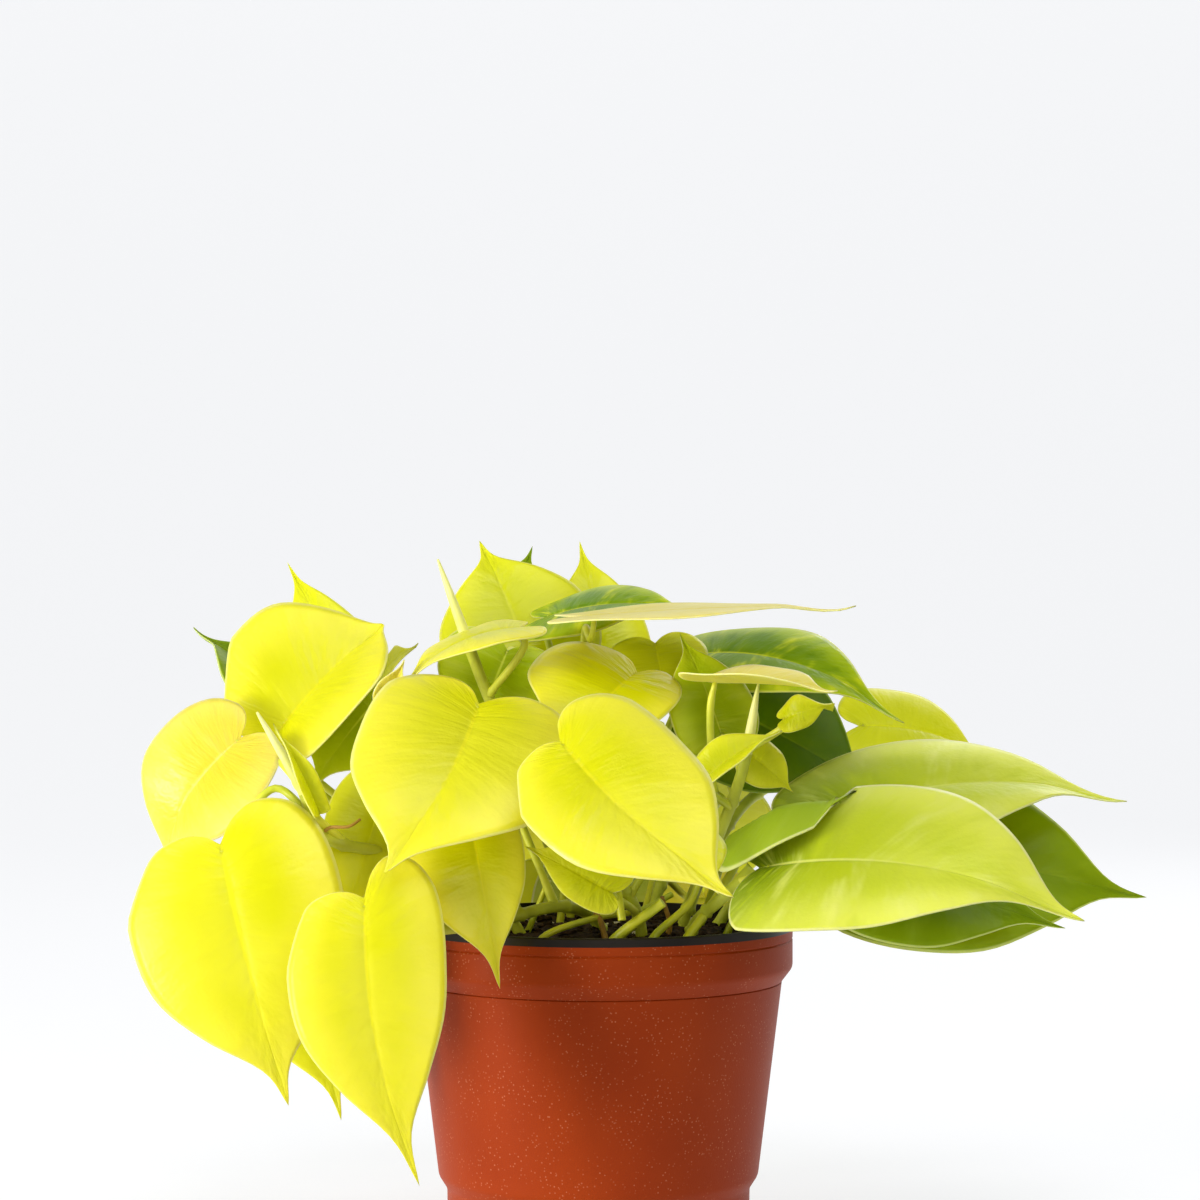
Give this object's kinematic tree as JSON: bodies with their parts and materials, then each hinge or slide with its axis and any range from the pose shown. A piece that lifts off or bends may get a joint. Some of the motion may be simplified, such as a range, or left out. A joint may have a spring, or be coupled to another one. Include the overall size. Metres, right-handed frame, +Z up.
{
  "type": "potted heart-leaf philodendron",
  "caption": "Bushy potted philodendron with heart-shaped lemon-lime leaves on thin stems, growing in soil in a round tapered plastic nursery pot.",
  "frame": {"origin": "centre of the pot's underside, on the surface it stands on", "axes": "+Z up along the pot's axis; -Y towards the viewer of the pictured side; +X to that viewer's right"},
  "size_m": [0.3918, 0.2935, 0.2683],
  "materials": {
    "pot": "thin terracotta-coloured plastic with a fine stipple and a black inside and lip",
    "soil": "dark crumbly potting mix of peat and bark with small pale bits",
    "stem": "smooth green living stem",
    "leaf_lemon": "semi-gloss lemon-yellow living leaf",
    "leaf_pale": "satin pale lemon living leaf",
    "leaf_lime": "semi-gloss lime living leaf",
    "leaf_green_lime": "semi-gloss lime-green living leaf",
    "leaf_mid_green": "semi-gloss mid-green living leaf",
    "leaf_dark_green": "satin dark green living leaf"
  },
  "bodies": {
    "root": {"pot": "pot", "soil": "soil", "stem_front_left": "stem", "stem_over_rim": "stem", "stem_front": "stem", "stem_front_right": "stem", "stem_sprig": "stem", "stem_right": "stem", "stem_right_back": "stem", "stem_centre": "stem", "stem_left": "stem", "stem_top": "stem", "stem_back_right": "stem", "stem_back": "stem", "stem_back_left": "stem", "leaf_far_left": "leaf_pale", "leaf_low_left": "leaf_lemon", "leaf_low_front": "leaf_lemon", "leaf_front_left": "leaf_lemon", "leaf_front": "leaf_lemon", "leaf_upper_left": "leaf_lemon", "leaf_left_behind": "leaf_lime", "leaf_left_high_tip": "leaf_lime", "leaf_green_left": "leaf_mid_green", "leaf_top": "leaf_lime", "leaf_top_green_tip": "leaf_mid_green", "leaf_top_right_tip": "leaf_lime", "leaf_curled": "leaf_lemon", "leaf_top_green": "leaf_green_lime", "leaf_flat": "leaf_pale", "leaf_middle": "leaf_lime", "leaf_middle_shaded": "leaf_green_lime", "leaf_middle_right": "leaf_green_lime", "leaf_middle_behind": "leaf_lime", "leaf_edge_on": "leaf_pale", "leaf_arching": "leaf_green_lime", "leaf_dark": "leaf_dark_green", "leaf_right_behind": "leaf_lime", "leaf_right_upper": "leaf_green_lime", "leaf_right_front": "leaf_green_lime", "leaf_right_low": "leaf_mid_green", "leaf_right_inner": "leaf_mid_green", "leaf_right_rear": "leaf_lime", "leaf_under_front": "leaf_lime", "leaf_over_rim": "leaf_lemon", "leaf_left_inner": "leaf_lime", "leaf_left_middle": "leaf_green_lime", "leaf_low_left_behind": "leaf_lime", "leaf_rear_high_60": "leaf_lime", "leaf_rear_high_92": "leaf_lemon", "leaf_rear_high_117": "leaf_green_lime", "leaf_rear_middle_66": "leaf_lime", "leaf_rear_middle_98": "leaf_lemon", "leaf_rear_middle_130": "leaf_green_lime", "leaf_rear_middle_156": "leaf_lime", "leaf_rear_low_64": "leaf_lemon", "leaf_rear_low_90": "leaf_green_lime", "leaf_rear_low_114": "leaf_lime", "leaf_rear_low_138": "leaf_lemon", "leaf_rear_low_160": "leaf_green_lime"}
  },
  "joints": []
}
